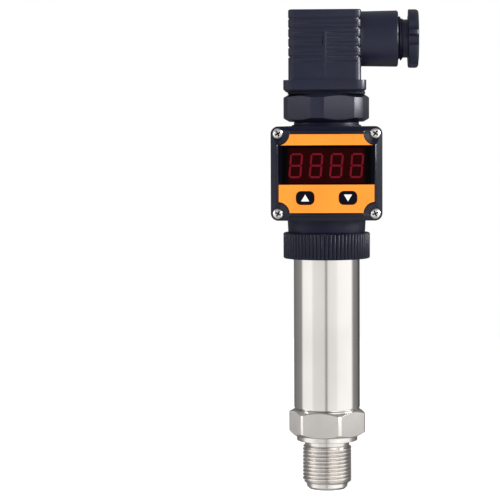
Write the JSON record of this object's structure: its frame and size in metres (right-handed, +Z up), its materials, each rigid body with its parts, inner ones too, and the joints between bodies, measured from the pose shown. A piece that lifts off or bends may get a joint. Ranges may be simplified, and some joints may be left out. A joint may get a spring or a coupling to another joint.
{
  "type": "pressure transmitter",
  "caption": "Inline pressure transmitter with a threaded stainless fitting and tube, a swivelling digital display head and a rectangular plug with a cable gland.",
  "frame": {"origin": "on the axis at the sealing shoulder above the process thread, inside the pressure port", "axes": "+Z up the axis from the process thread to the plug, -Y out of the display face, +X out of the cable gland"},
  "size_m": [0.0596, 0.0421, 0.1962],
  "materials": {
    "stainless": "polished stainless steel, turned and brushed",
    "black_plastic": "black glass-filled plastic, moulded, low sheen",
    "orange_film": "printed polyester film, orange and black",
    "red_window": "dark red filter acrylic",
    "black_rubber": "nitrile rubber",
    "white_plastic": "natural nylon",
    "grey_plastic": "grey moulded plastic",
    "board": "green glass-epoxy circuit board",
    "red_segments": "red diffusing resin",
    "contact_brass": "tinned brass",
    "screw_steel": "nickel-plated steel",
    "ceramic": "alumina ceramic"
  },
  "bodies": {
    "sensor": {"process_fitting": "stainless", "cell_seal": "black_rubber", "pressure_cell": "ceramic", "cell_retainer": "stainless", "housing_tube": "stainless", "board_carrier": "grey_plastic", "amplifier_board": "board", "amplifier_chips": "black_plastic", "signal_lead": "grey_plastic", "swivel_seal": "black_rubber"},
    "head": {"display_housing": "black_plastic", "bezel_gasket": "black_rubber", "front_bezel": "black_plastic", "bezel_screws": "screw_steel", "face_film": "orange_film", "display_window": "red_window", "led_module": "black_plastic", "digit_segments": "red_segments", "display_board": "board", "up_switch": "black_plastic", "down_switch": "black_plastic", "plug_base": "black_plastic", "neck_seal": "black_rubber", "contact_blades": "contact_brass", "plug_nut": "contact_brass", "plug_gasket": "black_rubber", "plug_hood": "black_plastic", "plug_insert": "black_plastic", "contact_sockets": "contact_brass", "terminal_screws": "screw_steel", "plug_screw": "screw_steel", "gland_seal": "black_rubber"},
    "up_key": {"up_key": "black_plastic"},
    "down_key": {"down_key": "black_plastic"},
    "gland_washer": {"gland_washer": "white_plastic"},
    "gland_nut": {"gland_nut": "black_plastic"},
    "slip_washer": {"slip_washer": "white_plastic"},
    "union_ring": {"union_ring": "black_plastic"}
  },
  "joints": [
    {"name": "head_swivel", "type": "hinge", "parent": "sensor", "child": "head", "pos_m": [0, 0, 0.08555], "axis": [0, 0, 1], "range_deg": [-165, 165]},
    {"name": "up_key_press", "type": "slide", "parent": "head", "child": "up_key", "axis": [0, 1, 0], "range_m": [0, 0.0004], "stiffness_N_per_m": 1500, "springref_m": -0.0006},
    {"name": "down_key_press", "type": "slide", "parent": "head", "child": "down_key", "axis": [0, 1, 0], "range_m": [0, 0.0004], "stiffness_N_per_m": 1500, "springref_m": -0.0006},
    {"name": "gland_feed", "type": "slide", "parent": "head", "child": "gland_washer", "axis": [1, 0, 0], "range_m": [-0.004, 0.006]},
    {"name": "gland_turn", "type": "hinge", "parent": "gland_washer", "child": "gland_nut", "pos_m": [0.0219, 0, 0.16425], "axis": [1, 0, 0], "range_deg": [-959, 1439]},
    {"name": "ring_feed", "type": "slide", "parent": "head", "child": "slip_washer", "axis": [0, 0, 1], "range_m": [-0.004, 0]},
    {"name": "ring_turn", "type": "hinge", "parent": "slip_washer", "child": "union_ring", "pos_m": [0, 0, 0.075], "axis": [0, 0, 1], "range_deg": [-959, 0]}
  ],
  "couplings": [
    {"joint": "gland_feed", "follows": "gland_turn", "m_per_rad": 0.00023873},
    {"joint": "ring_feed", "follows": "ring_turn", "m_per_rad": 0.00023873}
  ]
}
